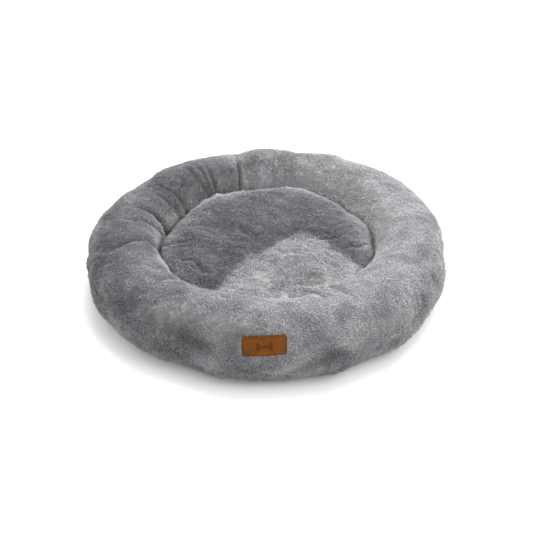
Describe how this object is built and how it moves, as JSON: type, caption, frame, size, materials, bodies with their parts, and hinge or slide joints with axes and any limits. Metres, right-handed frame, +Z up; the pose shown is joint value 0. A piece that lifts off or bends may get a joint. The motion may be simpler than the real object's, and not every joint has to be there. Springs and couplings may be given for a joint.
{
  "type": "pet cushion bed",
  "caption": "Round pet bed with a stuffed plush bolster ring, a non-slip base, a stitched leather label and a loose, zipped plush cushion that lifts out.",
  "frame": {"origin": "centre of the round base, on the floor", "axes": "+Z up along the ring's axis; the label is at the front, on -Y; +X to the right seen from the front"},
  "size_m": [0.6, 0.6, 0.108],
  "materials": {
    "bolster_plush": "short grey plush",
    "cushion_plush": "longer curled grey plush",
    "fibre": "white polyester fibre",
    "backing_cloth": "knitted backing",
    "base_cloth": "woven, matt",
    "dot_rubber": "matt",
    "floor_cloth": "woven, matt",
    "label_leather": "smooth, slightly worn",
    "label_thread": "waxed thread",
    "underside_cloth": "woven, matt",
    "bag_cloth": "non-woven",
    "zip_tape": "woven",
    "zip_coil": "nylon",
    "zip_metal": "satin",
    "care_cloth": "satin ribbon"
  },
  "bodies": {
    "bed": {"bolster_cover": "bolster_plush", "bolster_filling": "fibre", "closing_seam_allowance": "backing_cloth", "foot_seam_allowance": "backing_cloth", "floor_seam_allowance": "backing_cloth", "bottom_panel": "base_cloth", "antislip_dots": "dot_rubber", "base_wadding": "fibre", "floor_panel": "floor_cloth", "label_patch": "label_leather", "label_stitching": "label_thread"},
    "cushion": {"cushion_cover_top": "cushion_plush", "cushion_cover_bottom": "underside_cloth", "cushion_seam_allowance": "backing_cloth", "cushion_inner_bag": "bag_cloth", "cushion_filling": "fibre", "zip_tape_front": "zip_tape", "zip_tape_back": "zip_tape", "zip_coil_front": "zip_coil", "zip_coil_back": "zip_coil", "zip_start_stops": "zip_metal", "zip_end_stop": "zip_metal", "care_label": "care_cloth"},
    "zip_slider": {"zip_slider": "zip_metal"},
    "zip_pull": {"zip_pull": "zip_metal"}
  },
  "joints": [
    {"name": "cushion_lift", "type": "slide", "parent": "bed", "child": "cushion", "axis": [0, 0, 1], "range_m": [0, 0.18]},
    {"name": "zip_slide", "type": "slide", "parent": "cushion", "child": "zip_slider", "axis": [1, 0, 0], "range_m": [0, 0.244]},
    {"name": "zip_pull_swing", "type": "hinge", "parent": "zip_slider", "child": "zip_pull", "pos_m": [-0.1235, 0.06, 0.0137], "axis": [0, 1, 0], "range_deg": [0, 10]}
  ]
}
